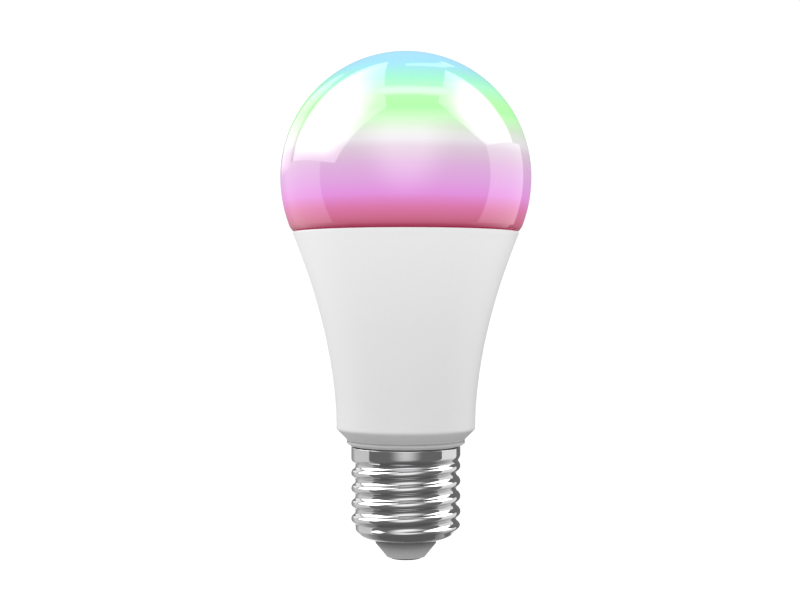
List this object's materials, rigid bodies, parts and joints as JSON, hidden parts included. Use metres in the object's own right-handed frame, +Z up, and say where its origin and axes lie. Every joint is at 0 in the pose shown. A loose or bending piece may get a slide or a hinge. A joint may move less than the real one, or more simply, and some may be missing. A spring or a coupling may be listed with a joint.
{
  "type": "smart light bulb",
  "caption": "Smart LED bulb with a round opal colour-changing globe, a white flared housing and a nickel-plated Edison screw cap, with its board, LEDs and driver inside.",
  "frame": {"origin": "centre of the flat face of the bottom contact, the lowest point of the lamp, where it meets the lampholder's spring contact", "axes": "+Z up the lamp's axis from the cap to the globe; +X and +Y across it, with the thread's lowest crest at 7.68 mm over +X"},
  "size_m": [0.06, 0.06, 0.1211],
  "materials": {
    "opal_polycarbonate": "glossy opal polycarbonate, lit from inside in a band of colours from pink at the foot to cyan at the top",
    "white_housing": "satin white moulded plastic",
    "nickel_plated_shell": "bright nickel plating on rolled sheet",
    "grey_insulator": "matt grey moulded insulator",
    "tinned_contact": "tinned and pressed",
    "white_silicone": "cured bead",
    "drawn_aluminium": "drawn, with fine lines round it",
    "grey_thermal_pad": "soft matt pad",
    "white_led_board": "white solder mask on an aluminium board",
    "green_circuit_board": "green solder mask",
    "zinc_screw_steel": "bright zinc plate",
    "warm_led_phosphor": "orange phosphor in a white package",
    "cool_led_phosphor": "yellow phosphor in a white package",
    "colour_led_lens": "clear encapsulant in a white package",
    "black_package": "moulded epoxy",
    "tinned_shield": "tinned and stamped",
    "capacitor_sleeve": "shrunk sleeve",
    "red_film_case": "dipped case",
    "dark_ferrite": "ground ferrite",
    "enamelled_copper": "enamelled wire",
    "yellow_winding_tape": "polyester tape",
    "resistor_lacquer": "lacquer",
    "black_wire_sleeve": "smooth insulation",
    "white_wire_sleeve": "smooth insulation"
  },
  "bodies": {
    "root": {"diffuser": "opal_polycarbonate", "housing": "white_housing", "screw_shell": "nickel_plated_shell", "cap_insulator": "grey_insulator", "centre_contact": "tinned_contact", "seal_ring": "white_silicone", "heat_sink_cup": "drawn_aluminium", "thermal_pad": "grey_thermal_pad", "led_board": "white_led_board", "led_screw_1": "zinc_screw_steel", "led_screw_2": "zinc_screw_steel", "warm_led_1": "warm_led_phosphor", "warm_led_2": "warm_led_phosphor", "warm_led_3": "warm_led_phosphor", "warm_led_4": "warm_led_phosphor", "warm_led_5": "warm_led_phosphor", "warm_led_6": "warm_led_phosphor", "cool_led_1": "cool_led_phosphor", "cool_led_2": "cool_led_phosphor", "cool_led_3": "cool_led_phosphor", "cool_led_4": "cool_led_phosphor", "cool_led_5": "cool_led_phosphor", "cool_led_6": "cool_led_phosphor", "colour_led_1": "colour_led_lens", "colour_led_2": "colour_led_lens", "colour_led_3": "colour_led_lens", "colour_led_4": "colour_led_lens", "led_pin_header": "black_package", "wifi_board": "green_circuit_board", "wifi_shield": "tinned_shield", "driver_board": "green_circuit_board", "fuse_resistor": "resistor_lacquer", "bridge_rectifier": "black_package", "input_capacitor": "capacitor_sleeve", "output_capacitor": "capacitor_sleeve", "film_capacitor": "red_film_case", "inductor_core": "dark_ferrite", "inductor_winding": "enamelled_copper", "transformer_core": "dark_ferrite", "transformer_bobbin": "black_package", "transformer_winding": "yellow_winding_tape", "mains_chip": "black_package", "led_chip": "black_package", "live_wire": "black_wire_sleeve", "neutral_wire": "white_wire_sleeve"}
  },
  "joints": []
}
